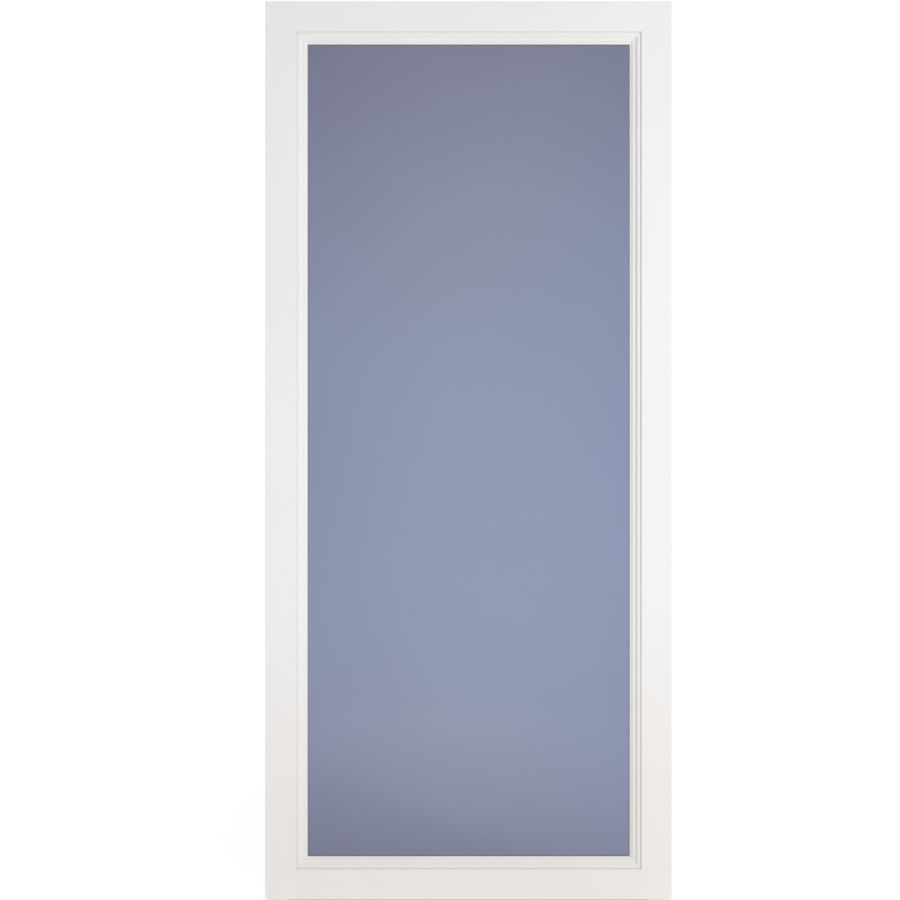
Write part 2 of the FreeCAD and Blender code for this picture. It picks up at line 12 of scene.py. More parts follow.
import bmesh
import bpy
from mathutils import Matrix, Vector


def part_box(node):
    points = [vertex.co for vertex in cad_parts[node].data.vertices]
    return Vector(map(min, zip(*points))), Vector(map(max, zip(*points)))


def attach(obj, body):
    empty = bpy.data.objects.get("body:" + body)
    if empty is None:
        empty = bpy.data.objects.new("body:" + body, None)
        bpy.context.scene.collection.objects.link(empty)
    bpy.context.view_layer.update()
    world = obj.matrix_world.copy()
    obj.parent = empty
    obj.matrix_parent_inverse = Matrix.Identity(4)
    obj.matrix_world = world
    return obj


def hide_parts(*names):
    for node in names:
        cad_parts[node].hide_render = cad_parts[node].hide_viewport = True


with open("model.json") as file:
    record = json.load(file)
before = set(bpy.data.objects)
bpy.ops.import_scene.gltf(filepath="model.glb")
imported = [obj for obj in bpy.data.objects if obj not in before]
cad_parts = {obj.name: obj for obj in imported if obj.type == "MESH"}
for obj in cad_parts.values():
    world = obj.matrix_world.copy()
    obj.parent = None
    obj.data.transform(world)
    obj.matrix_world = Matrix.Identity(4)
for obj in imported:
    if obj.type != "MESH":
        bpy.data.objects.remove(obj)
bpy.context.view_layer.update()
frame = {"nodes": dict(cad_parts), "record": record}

nodes = frame["nodes"]
record = frame["record"]

# %% [markdown]
# Sizes could be typed in again here, but then a change in the model would leave the screws and the camera
# behind. So everything is placed from the model's own boxes. Two rectangles are needed again and again:
# the outline of the leaf and the outline of the mounting frame.

# %% Measure the leaf and the frame
LEAF_RAILS = ("hinge_stile", "latch_stile", "top_rail", "bottom_rail")
FRAME_RAILS = ("hinge_jamb_rail", "latch_jamb_rail", "head_jamb_rail")


def outline(names):
    """Left, right, bottom and top of some nodes together, in metres."""
    boxes = [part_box(name) for name in names]
    left = min(low.x for low, high in boxes)
    right = max(high.x for low, high in boxes)
    bottom = min(low.z for low, high in boxes)
    top = max(high.z for low, high in boxes)
    return left, right, bottom, top


leaf_left, leaf_right, leaf_bottom, leaf_top = outline(LEAF_RAILS)
frame_left, frame_right, frame_bottom, frame_top = outline(FRAME_RAILS)
leaf_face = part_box("hinge_stile")[0].y
print("leaf", round(leaf_right - leaf_left, 4), "by", round(leaf_top - leaf_bottom, 4))

# %% [markdown]
# Node trees are easier to read when each step is one call. These helpers add a node, feed a socket with a
# value or a link, and do sums and colour mixes. They serve shader trees, the world and geometry trees
# alike.

# %% Helpers for node trees
def add(tree, kind, **settings):
    """A new node with some of its settings changed."""
    node = tree.nodes.new(kind)
    for name, value in settings.items():
        setattr(node, name, value)
    return node


def feed(tree, socket, value):
    """Sets a socket to a plain value, or links it to another node's output."""
    if isinstance(value, bpy.types.NodeSocket):
        tree.links.new(value, socket)
    else:
        socket.default_value = value


def calculate(tree, operation, *values):
    """One step of arithmetic."""
    node = add(tree, "ShaderNodeMath", operation=operation)
    for socket, value in zip(node.inputs, values):
        feed(tree, socket, value)
    return node.outputs["Value"]


def square(tree, value):
    """A value times itself."""
    return calculate(tree, "MULTIPLY", value, value)


def split(tree, place):
    """The X, Y and Z of a place or a direction."""
    node = add(tree, "ShaderNodeSeparateXYZ")
    feed(tree, node.inputs["Vector"], place)
    return node.outputs


def remap(tree, value, low, high, new_low, new_high, smooth=False):
    """Moves a value from one range to another and stops at its ends, softly if asked."""
    node = add(tree, "ShaderNodeMapRange")
    if smooth:
        node.interpolation_type = "SMOOTHSTEP"
    entries = {"Value": value, "From Min": low, "From Max": high, "To Min": new_low, "To Max": new_high}
    for name, entry in entries.items():
        feed(tree, node.inputs[name], entry)
    return node.outputs["Result"]


def mix_colours(tree, share, first, second):
    """A share of the second colour over the first."""
    node = add(tree, "ShaderNodeMix", data_type="RGBA")
    sockets = {socket.identifier: socket for socket in node.inputs}
    feed(tree, sockets["Factor_Float"], share)
    feed(tree, sockets["A_Color"], first)
    feed(tree, sockets["B_Color"], second)
    return next(socket for socket in node.outputs if socket.identifier == "Result_Color")


def noise(tree, place, scale, detail, seed):
    """Soft random grey; the seed moves the pattern along a fourth dimension."""
    node = add(tree, "ShaderNodeTexNoise", noise_dimensions="4D")
    feed(tree, node.inputs["Vector"], place)
    feed(tree, node.inputs["W"], seed)
    feed(tree, node.inputs["Scale"], scale)
    feed(tree, node.inputs["Detail"], detail)
    return node.outputs["Fac"]


# %% [markdown]
# White enamel is never quite even: it has a faint cloudy tone, patches that are a little glossier, and
# the fine ripple that sprayed and baked paint keeps. Several finishes need that. It could be built into
# each of them, but a shader group holds it once, and each material decides how strongly to use it. Nearly
# all of a noise lies in a narrow middle range, so a mask is stretched out from there.

# %% Shader groups: a start, and the skin of baked enamel
NUMBER = "NodeSocketFloat"
VECTOR = "NodeSocketVector"
PLACE = ("Place", VECTOR, None)
MOST_NOISE = (0.3, 0.7)
CLOUD_NOISE = (0.35, 0.65)
CLOUD_SCALE = 2.5
GLOSS_SCALE = 35.0
RIPPLE_SCALE = 450.0


def new_group(name, inputs, outputs):
    """An empty shader group with its sockets; inputs are (name, kind, default)."""
    group = bpy.data.node_groups.new(name, "ShaderNodeTree")
    for label, kind, default in inputs:
        socket = group.interface.new_socket(label, in_out="INPUT", socket_type=kind)
        if default is not None:
            socket.default_value = default
    for label in outputs:
        group.interface.new_socket(label, in_out="OUTPUT", socket_type=NUMBER)
    return group, add(group, "NodeGroupInput").outputs, add(group, "NodeGroupOutput").inputs


def make_enamel_skin():
    """Masks for baked enamel: cloudy tone, glossier patches and fine ripple."""
    sizes = (("Cloud Scale", NUMBER, CLOUD_SCALE), ("Ripple Scale", NUMBER, RIPPLE_SCALE))
    group, given, result = new_group("enamel skin", (PLACE, *sizes), ("Cloud", "Gloss", "Ripple"))
    cloud = noise(group, given["Place"], given["Cloud Scale"], detail=3.0, seed=1.0)
    gloss = noise(group, given["Place"], GLOSS_SCALE, detail=4.0, seed=2.0)
    ripple = noise(group, given["Place"], given["Ripple Scale"], detail=2.0, seed=3.0)
    feed(group, result["Cloud"], remap(group, cloud, *CLOUD_NOISE, 0.0, 1.0, smooth=True))
    feed(group, result["Gloss"], gloss)
    feed(group, result["Ripple"], ripple)
    return group


enamel_skin = make_enamel_skin()
print("group", enamel_skin.name)

# %% [markdown]
# The leaf, the insert and the frame are cut at 45 degrees and butted at their corners, which leaves a
# hairline. It is too fine to be cut into a mesh, so it is a mask. The distance to a mitre follows from
# two numbers: how far a point is from the nearest upright edge and how far it is from the nearest level
# edge. Where both are the same, the point lies on the mitre.

# %% Shader group: hairlines at the mitres
HAIRLINE_WIDTH = 0.0003


def make_mitre_hairline():
    """A mask that is one on the mitre lines of an upright rectangle."""
    edges = [(label, NUMBER, 0.0) for label in ("Left", "Right", "Bottom", "Top")]
    width = ("Width", NUMBER, HAIRLINE_WIDTH)
    group, given, result = new_group("mitre hairline", (PLACE, *edges, width), ("Hairline",))
    spot = split(group, given["Place"])
    from_upright = calculate(
        group, "MINIMUM",
        calculate(group, "SUBTRACT", spot["X"], given["Left"]),
        calculate(group, "SUBTRACT", given["Right"], spot["X"]),
    )
    from_level = calculate(
        group, "MINIMUM",
        calculate(group, "SUBTRACT", spot["Z"], given["Bottom"]),
        calculate(group, "SUBTRACT", given["Top"], spot["Z"]),
    )
    apart = calculate(group, "ABSOLUTE", calculate(group, "SUBTRACT", from_upright, from_level))
    feed(group, result["Hairline"], remap(group, apart, 0.0, given["Width"], 1.0, 0.0, smooth=True))
    return group


mitre_hairline = make_mitre_hairline()
print("group", mitre_hairline.name)

# %% [markdown]
# The lower part of the door is made a little warmer and slightly darker than the rest. The mask falls
# off with height and is broken up by a soft noise, so that it has no straight upper edge.

# %% Shader group: warmer towards the sill
LOW_WARMTH_REACH = 0.8
LOW_WARMTH_SCALE = 6.0
LOW_WARMTH_PATCHES = (0.75, 1.0)


def make_low_warmth():
    """A mask that is strongest at the sill and fades with height."""
    reach = ("Reach", NUMBER, LOW_WARMTH_REACH)
    group, given, result = new_group("low warmth", (PLACE, reach), ("Warmth",))
    height = split(group, given["Place"])["Z"]
    fade = remap(group, height, 0.0, given["Reach"], 1.0, 0.0, smooth=True)
    uneven = noise(group, given["Place"], LOW_WARMTH_SCALE, detail=4.0, seed=4.0)
    patches = remap(group, uneven, *MOST_NOISE, *LOW_WARMTH_PATCHES)
    feed(group, result["Warmth"], calculate(group, "MULTIPLY", fade, patches))
    return group


low_warmth = make_low_warmth()
print("group", low_warmth.name)

# %% [markdown]
# Vinyl, rubber and drawn steel all come out of a die or off a wheel, so they carry fine lines along their
# length. Stretching a noise along one axis gives them: the coordinates are scaled up across the length
# and left small along it.

# %% Shader group: die lines
UPRIGHT_LINES = (900.0, 900.0, 4.0)
LEVEL_LINES = (4.0, 900.0, 900.0)


def make_die_lines():
    """Fine streaks; Stretch scales the coordinates, small along the streaks and large across them."""
    stretch = ("Stretch", VECTOR, UPRIGHT_LINES)
    group, given, result = new_group("die lines", (PLACE, stretch), ("Lines",))
    scaled = add(group, "ShaderNodeVectorMath", operation="MULTIPLY")
    feed(group, scaled.inputs[0], given["Place"])
    feed(group, scaled.inputs[1], given["Stretch"])
    feed(group, result["Lines"], noise(group, scaled.outputs["Vector"], 1.0, detail=3.0, seed=5.0))
    return group


die_lines = make_die_lines()
print("group", die_lines.name)

# %% [markdown]
# A material starts as one Principled shader. Patterns read Object coordinates, which are metres in the
# door's own frame here, because every piece sits at the origin with its place in its mesh.

# %% Helpers for materials
def new_material(name):
    """A material with a Principled shader, and the place of each surface point in metres."""
    material = bpy.data.materials.new(name)
    material.use_nodes = True
    tree = material.node_tree
    tree.nodes.clear()
    shader = add(tree, "ShaderNodeBsdfPrincipled")
    output = add(tree, "ShaderNodeOutputMaterial")
    tree.links.new(shader.outputs["BSDF"], output.inputs["Surface"])
    place = add(tree, "ShaderNodeTexCoord").outputs["Object"]
    return material, tree, shader.inputs, place


def use_group(tree, group, place, **values):
    """Places a shader group; values are its inputs, with an underscore for a space."""
    node = add(tree, "ShaderNodeGroup", node_tree=group)
    feed(tree, node.inputs["Place"], place)
    for name, value in values.items():
        feed(tree, node.inputs[name.replace("_", " ")], value)
    return node.outputs


def emboss(tree, shader, height, depth):
    """Bump from a height between zero and one that stands for a depth in metres."""
    bump = add(tree, "ShaderNodeBump")
    feed(tree, bump.inputs["Height"], height)
    feed(tree, bump.inputs["Distance"], depth)
    feed(tree, bump.inputs["Strength"], 1.0)
    feed(tree, shader["Normal"], bump.outputs["Normal"])


# %% [markdown]
# The white finish is a satin enamel baked onto the aluminium. Its white is slightly warm, it reflects
# softly, and the mitres show as hairlines. One function makes it for any ring of bars, because only the
# corners of the ring differ. A ring with no mitres at the sill gets a bottom edge far below the floor,
# and loose hardware gets edges so far off that no mitre reaches it.

# %% White enamel
ENAMEL_LIGHT = (0.818, 0.81, 0.797, 1)
ENAMEL_CLOUD = (0.798, 0.789, 0.774, 1)
ENAMEL_ROUGHNESS = (0.36, 0.46)
ENAMEL_IOR = 1.5
RIPPLE_DEPTH = 0.00002
LOW_WARM_TINT = (0.80, 0.71, 0.67, 1)
RAIL_WARMTH = 0.35
HARDWARE_WARMTH = 0.2
HAIRLINE_TINT = (0.42, 0.42, 0.42, 1)
HAIRLINE_SHARE = 0.6
NO_EDGE = -10.0


def white_enamel(name, left, right, bottom, top, warming):
    material, tree, shader, place = new_material(name)
    skin = use_group(tree, enamel_skin, place)
    corners = use_group(tree, mitre_hairline, place, Left=left, Right=right, Bottom=bottom, Top=top)
    # The lower part is mixed a little warmer and darker.
    warm_share = calculate(tree, "MULTIPLY", use_group(tree, low_warmth, place)["Warmth"], warming)
    seam_share = calculate(tree, "MULTIPLY", corners["Hairline"], HAIRLINE_SHARE)
    white = mix_colours(tree, skin["Cloud"], ENAMEL_LIGHT, ENAMEL_CLOUD)
    warmed = mix_colours(tree, warm_share, white, LOW_WARM_TINT)
    feed(tree, shader["Base Color"], mix_colours(tree, seam_share, warmed, HAIRLINE_TINT))
    feed(tree, shader["Roughness"], remap(tree, skin["Gloss"], *MOST_NOISE, *ENAMEL_ROUGHNESS))
    feed(tree, shader["IOR"], ENAMEL_IOR)
    emboss(tree, shader, skin["Ripple"], RIPPLE_DEPTH)
    return material


leaf_enamel = white_enamel("leaf_enamel", leaf_left, leaf_right, leaf_bottom, leaf_top, RAIL_WARMTH)
frame_enamel = white_enamel("frame_enamel", frame_left, frame_right, NO_EDGE, frame_top, RAIL_WARMTH)
hardware_enamel = white_enamel("hardware_enamel", NO_EDGE, -NO_EDGE, NO_EDGE, NO_EDGE, HARDWARE_WARMTH)
print("enamels", leaf_enamel.name, frame_enamel.name, hardware_enamel.name)

# %% [markdown]
# The glass is clear safety glass with a blue-grey tint. A Principled shader with full transmission takes
# its tint from the base colour. Painted reflection and shade are mixed into that tint: it is darker
# towards the top and the lower edge and lightest a little below the middle, as the pane looks in
# daylight, and it turns bluer towards both sides, most of all at the right, as a painted reflection.
# A very faint cloudiness keeps the fades from looking drawn.

# %% Blue-grey glass with painted reflection and shade
pane_low, pane_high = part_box("glass_pane")
# Glass colours where the painted light is brightest, where the painted shade is deepest, and of the painted
# blue reflection at the sides.
GLASS_PAINTED_LIGHT = (0.268, 0.303, 0.438, 1)
GLASS_PAINTED_SHADE = (0.15, 0.151, 0.206, 1)
GLASS_SIDE_PAINTED_REFLECTION = (0.12, 0.19, 0.5, 1)
GLASS_IOR = 1.5
BRIGHT_ACROSS = 0.66
BRIGHT_UP = 0.37
FADE_ACROSS = 1.37
FADE_UP = 0.74
FADE_DOWN = 0.49
LEFT_SHARE = 0.075
RIGHT_SHARE = 0.105
GLASS_CLOUD_SCALE = 3.0
GLASS_CLOUD = (-0.03, 0.03)


def over_pane(tree, value, axis, first, last):
    """Runs evenly from one value at the pane's low edge to another at its high edge."""
    return remap(tree, value, pane_low[axis], pane_high[axis], first, last)


def painted_glass_shade(tree, place, spot):
    """A mask of painted shade on the glass: zero where the painted light is brightest and one where it is
    darkest.
    """
    across = over_pane(tree, spot["X"], 0, -BRIGHT_ACROSS, 1 - BRIGHT_ACROSS)
    up = over_pane(tree, spot["Z"], 2, -BRIGHT_UP, 1 - BRIGHT_UP)
    above = calculate(tree, "DIVIDE", calculate(tree, "MAXIMUM", up, 0.0), FADE_UP)
    below = calculate(tree, "DIVIDE", calculate(tree, "MINIMUM", up, 0.0), FADE_DOWN)
    aside = calculate(tree, "DIVIDE", across, FADE_ACROSS)
    upright = calculate(tree, "ADD", square(tree, above), square(tree, below))
    far = calculate(tree, "ADD", upright, square(tree, aside))
    uneven = noise(tree, place, GLASS_CLOUD_SCALE, detail=2.0, seed=6.0)
    cloudy = remap(tree, uneven, *MOST_NOISE, *GLASS_CLOUD)
    return remap(tree, calculate(tree, "ADD", far, cloudy), 0.0, 1.0, 0.0, 1.0)


def blue_grey_glass():
    material, tree, shader, place = new_material("blue_grey_glass")
    spot = split(tree, place)
    # Painted shade and reflection: the glass darkens away from its brightest spot and turns bluer towards
    # the sides.
    tint = mix_colours(tree, painted_glass_shade(tree, place, spot), GLASS_PAINTED_LIGHT, GLASS_PAINTED_SHADE)
    from_middle = over_pane(tree, spot["X"], 0, -1.0, 1.0)
    most_painted_blue = over_pane(tree, spot["X"], 0, LEFT_SHARE, RIGHT_SHARE)
    painted_side_share = calculate(tree, "MULTIPLY", square(tree, from_middle), most_painted_blue)
    feed(tree, shader["Base Color"], mix_colours(tree, painted_side_share, tint, GLASS_SIDE_PAINTED_REFLECTION))
    feed(tree, shader["Roughness"], 0.0)
    feed(tree, shader["IOR"], GLASS_IOR)
    feed(tree, shader["Transmission Weight"], 1.0)
    return material


glass = blue_grey_glass()
print("glass", [round(size, 4) for size in pane_high - pane_low])

# %% [markdown]
# The soft and drawn materials are variations on one recipe: a base tint, die lines that change tone and
# gloss a little, and a shallow bump. The recipe takes the direction of the lines, so that the upright and
# the level strips both have lines along their length. Each set below is a tint, a shade and a range of
# roughness.

# %% Vinyl, rubber and steel
LINE_DEPTH = 0.00002
WHITE_VINYL = ((0.80, 0.795, 0.78), (0.77, 0.765, 0.745), (0.42, 0.52))
GREY_RUBBER = ((0.165, 0.165, 0.167), (0.195, 0.195, 0.197), (0.55, 0.75))
DARK_VINYL = ((0.06, 0.06, 0.062), (0.085, 0.085, 0.087), (0.45, 0.6))
DRAWN_STEEL = ((0.62, 0.61, 0.59), (0.5, 0.49, 0.475), (0.22, 0.38))


def drawn_material(name, tint, shade, roughness, lines, metallic=0.0, depth=LINE_DEPTH):
    """A tinted material with die lines; roughness is given as a low and a high value."""
    material, tree, shader, place = new_material(name)
    streak = use_group(tree, die_lines, place, Stretch=lines)["Lines"]
    tone = remap(tree, streak, *MOST_NOISE, 0.0, 1.0)
    feed(tree, shader["Base Color"], mix_colours(tree, tone, (*tint, 1), (*shade, 1)))
    feed(tree, shader["Roughness"], remap(tree, streak, *MOST_NOISE, *roughness))
    feed(tree, shader["Metallic"], metallic)
    emboss(tree, shader, streak, depth)
    return material


vinyl_upright = drawn_material("vinyl_upright", *WHITE_VINYL, UPRIGHT_LINES)
vinyl_level = drawn_material("vinyl_level", *WHITE_VINYL, LEVEL_LINES)
gasket_rubber = drawn_material("gasket_rubber", *GREY_RUBBER, UPRIGHT_LINES)
sweep_vinyl = drawn_material("sweep_vinyl", *DARK_VINYL, LEVEL_LINES)
bright_steel = drawn_material("bright_steel", *DRAWN_STEEL, UPRIGHT_LINES, metallic=1.0)
print("drawn materials ready")

# %% [markdown]
# The pile is polypropylene yarn. Each tuft takes its tone from where it stands, so that neighbours
# differ, and the streaks along it stand for its filaments. The woven backing is paler and has a coarser
# pattern.

# %% Pile yarn and its backing
FILAMENTS = (700.0, 30.0, 700.0)
WOVEN_ROWS = (900.0, 900.0, 900.0)
WEAVE_DEPTH = 0.0001
GREY_YARN = ((0.30, 0.30, 0.31), (0.17, 0.17, 0.18), (0.8, 0.95))
PALE_WEAVE = ((0.55, 0.55, 0.54), (0.42, 0.42, 0.41), (0.7, 0.85))
pile_fibre = drawn_material("pile_fibre", *GREY_YARN, FILAMENTS)
pile_backing = drawn_material("pile_backing", *PALE_WEAVE, WOVEN_ROWS, depth=WEAVE_DEPTH)
print("pile materials", pile_fibre.name, pile_backing.name)

# %% [markdown]
# The record says which slot each node belongs to, so the finishes are handed out by slot. A few slots
# split into several finishes, because the mitres of the leaf and of the frame lie in different places and
# the level strips have level die lines.

# %% Hand out the finishes
SLOT_FINISH = {
    "white_paint": leaf_enamel,
    "white_vinyl": vinyl_upright,
    "glass": glass,
    "gasket": gasket_rubber,
    "pile": pile_fibre,
    "hinge_steel": hardware_enamel,
    "pin_steel": bright_steel,
    "sweep_vinyl": sweep_vinyl,
}
NODE_FINISH = {
    **{name: frame_enamel for name in FRAME_RAILS},
    "bottom_expander": hardware_enamel,
    "retainer_top": vinyl_level,
    "retainer_bottom": vinyl_level,
}
for part in record["subparts"]:
    materials = nodes[part["node"]].data.materials
    materials.clear()
    materials.append(NODE_FINISH.get(part["node"], SLOT_FINISH[part["material_slot"]]))
print("finished nodes", len(record["subparts"]))

# %% [markdown]
# Screws and rivets repeat. They could be copied one by one, but a geometry tree makes one head and puts
# it on every point of a mesh, so a change to the head reaches all of them. These helpers start a tree and
# make its simple shapes.

# %% Helpers for geometry trees
def new_tree(name, sizes):
    """An empty geometry tree with a named number input for each size, a facing and a material."""
    tree = bpy.data.node_groups.new(name, "GeometryNodeTree")
    tree.interface.new_socket("Geometry", in_out="INPUT", socket_type="NodeSocketGeometry")
    for label in sizes:
        tree.interface.new_socket(label, in_out="INPUT", socket_type=NUMBER)
    tree.interface.new_socket("Facing", in_out="INPUT", socket_type=VECTOR)
    tree.interface.new_socket("Finish", in_out="INPUT", socket_type="NodeSocketMaterial")
    tree.interface.new_socket("Geometry", in_out="OUTPUT", socket_type="NodeSocketGeometry")
    return tree, add(tree, "NodeGroupInput").outputs, add(tree, "NodeGroupOutput").inputs


def vector(tree, x, y, z):
    """Three numbers as one vector."""
    node = add(tree, "ShaderNodeCombineXYZ")
    for socket, value in zip(node.inputs, (x, y, z)):
        feed(tree, socket, value)
    return node.outputs["Vector"]


def moved(tree, geometry, shift=None, scale=None):
    """A shape after a shift or a scaling."""
    node = add(tree, "GeometryNodeTransform")
    feed(tree, node.inputs["Geometry"], geometry)
    for name, value in (("Translation", shift), ("Scale", scale)):
        if value is not None:
            feed(tree, node.inputs[name], value)
    return node.outputs["Geometry"]


def boxed(tree, x, y, z):
    """A box around the origin."""
    node = add(tree, "GeometryNodeMeshCube")
    feed(tree, node.inputs["Size"], vector(tree, x, y, z))
    return node.outputs["Mesh"]


def combined(tree, operation, first, *others):
    """A boolean of closed meshes."""
    node = add(tree, "GeometryNodeMeshBoolean", operation=operation)
    if operation == "DIFFERENCE":
        feed(tree, node.inputs["Mesh 1"], first)
    else:
        others = (first, *others)
    for mesh in others:
        feed(tree, node.inputs["Mesh 2"], mesh)
    return node.outputs["Mesh"]


# %% [markdown]
# Every tree ends in the same way: the head goes on each point, turned to its facing and then by a tilt of
# its own. The instances become plain geometry, and the finish is set. The tilt and the size can be random
# vectors with a fixed seed, so that each run gives the same door.

# %% Put a shape on points
def random_vector(tree, low, high, seed):
    """A vector for each point, somewhere between two others."""
    node = add(tree, "FunctionNodeRandomValue", data_type="FLOAT_VECTOR")
    sockets = {socket.identifier: socket for socket in node.inputs}
    feed(tree, sockets["Min"], low)
    feed(tree, sockets["Max"], high)
    feed(tree, sockets["Seed"], seed)
    return next(socket for socket in node.outputs if socket.identifier == "Value")


def spread(tree, given, points, head, tilt, result, scale=(1.0, 1.0, 1.0)):
    """Puts the head on each point and ends the tree in plain geometry with its finish."""
    facing = add(tree, "FunctionNodeEulerToRotation")
    feed(tree, facing.inputs["Euler"], given["Facing"])
    lean = add(tree, "FunctionNodeEulerToRotation")
    feed(tree, lean.inputs["Euler"], tilt)
    turned = add(tree, "FunctionNodeRotateRotation", rotation_space="LOCAL")
    feed(tree, turned.inputs["Rotation"], facing.outputs["Rotation"])
    feed(tree, turned.inputs["Rotate By"], lean.outputs["Rotation"])
    placed = add(tree, "GeometryNodeInstanceOnPoints")
    feed(tree, placed.inputs["Points"], points)
    feed(tree, placed.inputs["Instance"], head)
    feed(tree, placed.inputs["Rotation"], turned.outputs["Rotation"])
    feed(tree, placed.inputs["Scale"], scale)
    plain = add(tree, "GeometryNodeRealizeInstances")
    feed(tree, plain.inputs["Geometry"], placed.outputs["Instances"])
    finished = add(tree, "GeometryNodeSetMaterial")
    feed(tree, finished.inputs["Geometry"], plain.outputs["Geometry"])
    feed(tree, finished.inputs["Material"], given["Finish"])
    feed(tree, result["Geometry"], finished.outputs["Geometry"])


# %% [markdown]
# A head is a flattened ball cut flat at the bottom. A screw gets a cross cut into it and a rivet a round
# dimple, and each screw is turned by a random angle, as a screwdriver would leave it. The cuts are real
# geometry, because a bump would look flat from the side.

# %% Trees for screw heads and rivet heads
HEAD_SEED = 7
HEAD_SEGMENTS = 20
HEAD_RINGS = 12
HEAD_ROOM = 4.0
CROSS_SPAN = 1.1
DIMPLE_SIDES = 12
NO_TURN = (0.0, 0.0, 0.0)
QUARTER_TURN = (0.0, 0.0, math.pi / 2)


def domed_head(tree, given):
    """A flattened ball with a flat underside at the origin."""
    ball = add(tree, "GeometryNodeMeshUVSphere")
    feed(tree, ball.inputs["Segments"], HEAD_SEGMENTS)
    feed(tree, ball.inputs["Rings"], HEAD_RINGS)
    feed(tree, ball.inputs["Radius"], 1.0)
    radius, height = given["Head Radius"], given["Head Height"]
    dome = moved(tree, ball.outputs["Mesh"], scale=vector(tree, radius, radius, height))
    width = calculate(tree, "MULTIPLY", radius, HEAD_ROOM)
    room = boxed(tree, width, width, calculate(tree, "MULTIPLY", height, 2.0))
    return combined(tree, "INTERSECT", dome, moved(tree, room, shift=vector(tree, 0.0, 0.0, height)))


def make_screw_tree():
    sizes = ("Head Radius", "Head Height", "Cross Width", "Cross Depth")
    tree, given, result = new_tree("cross-head screws", sizes)
    span = calculate(tree, "MULTIPLY", given["Head Radius"], CROSS_SPAN)
    deep = calculate(tree, "MULTIPLY", given["Cross Depth"], 2.0)
    lift = vector(tree, 0.0, 0.0, given["Head Height"])
    bars = (
        moved(tree, boxed(tree, span, given["Cross Width"], deep), shift=lift),
        moved(tree, boxed(tree, given["Cross Width"], span, deep), shift=lift),
    )
    head = combined(tree, "DIFFERENCE", domed_head(tree, given), *bars)
    turn = random_vector(tree, NO_TURN, QUARTER_TURN, HEAD_SEED)
    spread(tree, given, given["Geometry"], head, turn, result)
    return tree


def make_rivet_tree():
    sizes = ("Head Radius", "Head Height", "Dimple Radius", "Dimple Depth")
    tree, given, result = new_tree("blind rivets", sizes)
    dimple = add(tree, "GeometryNodeMeshCylinder")
    feed(tree, dimple.inputs["Vertices"], DIMPLE_SIDES)
    feed(tree, dimple.inputs["Radius"], given["Dimple Radius"])
    feed(tree, dimple.inputs["Depth"], calculate(tree, "MULTIPLY", given["Dimple Depth"], 2.0))
    raised = moved(tree, dimple.outputs["Mesh"], shift=vector(tree, 0.0, 0.0, given["Head Height"]))
    head = combined(tree, "DIFFERENCE", domed_head(tree, given), raised)
    spread(tree, given, given["Geometry"], head, NO_TURN, result)
    return tree


screw_tree = make_screw_tree()
rivet_tree = make_rivet_tree()
print("trees", screw_tree.name, rivet_tree.name)

# %% [markdown]
# A tree runs as a modifier on a mesh that holds only points, or points joined by edges. Its inputs are
# set by their identifiers before it is first evaluated. The result is then copied into a plain mesh,
# because the door is exported piece by piece and instances would be lost.

# %% Run a tree into a plain mesh
TOWARDS_OUTDOORS = (math.pi / 2, 0.0, 0.0)
TOWARDS_INDOORS = (-math.pi / 2, 0.0, 0.0)
TOWARDS_HINGES = (0.0, -math.pi / 2, 0.0)


def run_tree(name, tree, points, edges, **values):
    """A new object at the origin with the tree's result; values are the inputs, underscores for spaces."""
    source = bpy.data.meshes.new(f"{name}_points")
    source.from_pydata(points, edges, [])
    carrier = bpy.data.objects.new(f"{name}_carrier", source)
    bpy.context.scene.collection.objects.link(carrier)
    modifier = carrier.modifiers.new("tree", "NODES")
    modifier.node_group = tree
    wanted = {label.replace("_", " "): value for label, value in values.items()}
    for item in tree.interface.items_tree:
        if item.in_out == "INPUT" and item.name in wanted:
            modifier[item.identifier] = wanted[item.name]
    bpy.context.view_layer.update()
    finished = carrier.evaluated_get(bpy.context.evaluated_depsgraph_get())
    piece = bpy.data.objects.new(name, bpy.data.meshes.new_from_object(finished))
    bpy.data.objects.remove(carrier)
    bpy.context.scene.collection.objects.link(piece)
    print(name, "from", len(points), "points:", len(piece.data.polygons), "faces")
    return piece


# %% [markdown]
# The frame is screwed through its flanges to the house trim. The record states the screw holes as mounts,
# each with a centre, spacings and a count, so the places come from there. The pan heads lie on the
# outdoor face of the flanges and are hidden while the door is shut.

# %% Flange screws
MILLIMETRES_A_METRE = 1000
flange_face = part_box("hinge_jamb_rail")[0].y


def hole_places(mount):
    """Centres of a mount's holes on the outdoor face of the flanges, in metres."""
    x, y, z = mount["pos_m"]
    half_across = mount["dims"]["spacing_x_mm"] / MILLIMETRES_A_METRE / 2
    half_up = mount["dims"].get("spacing_y_mm", 0) / MILLIMETRES_A_METRE / 2
    rows = (-half_up, half_up) if half_up else (0,)
    return [(x + side * half_across, flange_face, z + row) for side in (-1, 1) for row in rows]


screw_mounts = [mount for mount in record["mounts"] if mount["kind"] == "bolt_pattern"]
flange_holes = [place for mount in screw_mounts for place in hole_places(mount)]
flange_screws = run_tree(
    "flange_screws", screw_tree, flange_holes, [],
    Head_Radius=0.0046, Head_Height=0.0021, Cross_Width=0.0011, Cross_Depth=0.0012,
    Facing=TOWARDS_OUTDOORS, Finish=bright_steel,
)
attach(flange_screws, "mounting_frame")

# %% [markdown]
# Blind rivets hold each hinge's fixed plate to the flange, and low screws hold its moving plate to the
# side of the rail tube, where there is little room. They are set out from each plate's own box.

